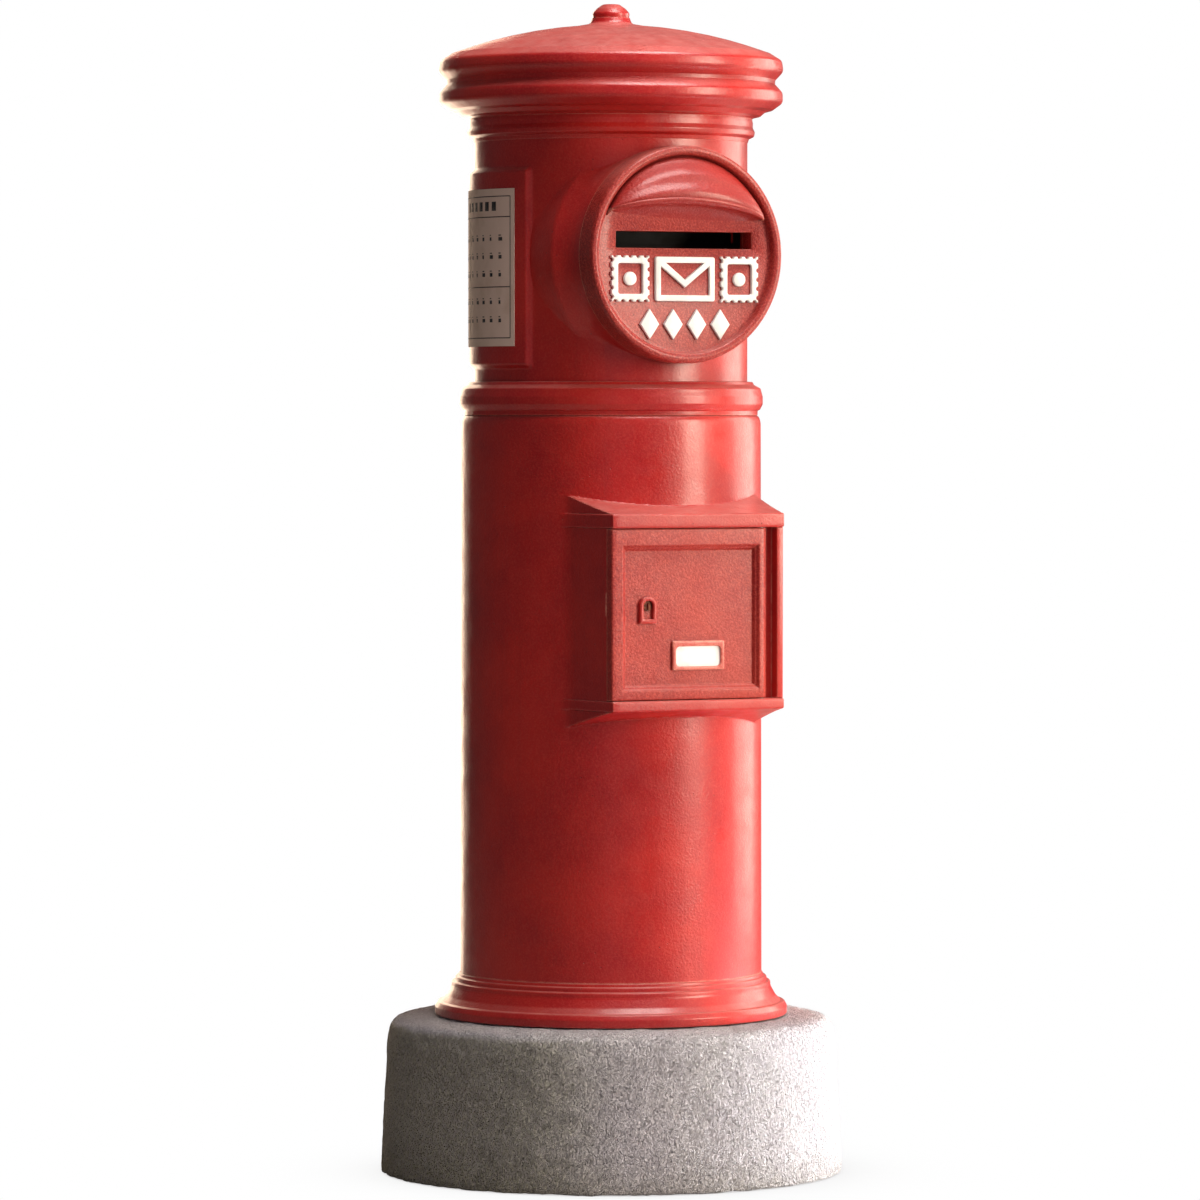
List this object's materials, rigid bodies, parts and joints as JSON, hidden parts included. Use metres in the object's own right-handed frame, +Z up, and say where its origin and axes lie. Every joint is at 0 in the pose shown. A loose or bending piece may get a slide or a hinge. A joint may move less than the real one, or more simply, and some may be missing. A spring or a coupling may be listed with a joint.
{
  "type": "pillar post box",
  "caption": "Cylindrical cast pillar mailbox on a round concrete base, with a domed roof, a hooded posting slot and a locked collection door.",
  "frame": {"origin": "centre of the concrete base's underside", "axes": "+Z up along the trunk's axis; the posting slot and the door face -Y; the door's hinge is on the +X side"},
  "size_m": [0.6179, 0.618, 1.555],
  "materials": {
    "red_enamel": "glossy enamel on cast iron",
    "white_enamel": "glossy",
    "concrete": "rough cast concrete",
    "timetable_print": "printed sheet",
    "card_paper": "matte",
    "lock_brass": "worn",
    "bright_steel": "machined",
    "black_steel": "satin black",
    "zinc_steel": "zinc plated"
  },
  "bodies": {
    "cabinet": {"anchor_bolts": "zinc_steel", "anchor_nuts": "zinc_steel", "anchor_washers": "zinc_steel", "chute_flange": "zinc_steel", "chute_floor": "zinc_steel", "chute_guide": "zinc_steel", "concrete_base": "concrete", "finial_knob": "red_enamel", "finial_nut": "zinc_steel", "floor_screws": "zinc_steel", "foot_bolts": "zinc_steel", "foot_nuts": "zinc_steel", "foot_ring": "red_enamel", "hinge_pin_lower": "bright_steel", "hinge_pin_upper": "bright_steel", "hood_screws": "zinc_steel", "keeper_screws": "zinc_steel", "letter_floor": "zinc_steel", "lock_keeper": "zinc_steel", "lower_trunk": "red_enamel", "mouth_bolts": "zinc_steel", "neck_ring": "red_enamel", "raised_emblems": "white_enamel", "roof_bolts": "zinc_steel", "roof_cap": "red_enamel", "slot_hood": "red_enamel", "slot_plate": "red_enamel", "timetable_sheet": "timetable_print", "upper_trunk": "red_enamel", "waist_bolts": "zinc_steel", "waist_nuts": "zinc_steel", "waist_ring": "red_enamel"},
    "door": {"door_leaf": "red_enamel", "keyhole_escutcheon": "red_enamel", "card_holder": "red_enamel", "card_insert": "card_paper", "lock_case": "black_steel", "lock_screws": "zinc_steel"},
    "lock_plug": {"lock_plug": "lock_brass", "lock_cam": "bright_steel"},
    "lock_bolt": {"lock_bolt": "bright_steel"}
  },
  "joints": [
    {"name": "door_hinge", "type": "hinge", "parent": "cabinet", "child": "door", "pos_m": [0.096, -0.236, 0.75], "axis": [0, 0, 1], "range_deg": [0, 110]},
    {"name": "plug_turn", "type": "hinge", "parent": "door", "child": "lock_plug", "pos_m": [-0.072, -0.23, 0.761], "axis": [0, -1, 0], "range_deg": [0, 90]},
    {"name": "bolt_slide", "type": "slide", "parent": "door", "child": "lock_bolt", "axis": [-1, 0, 0], "range_m": [0, 0.01]}
  ],
  "couplings": [
    {"joint": "plug_turn", "follows": "bolt_slide", "rad_per_m": 157.08}
  ]
}
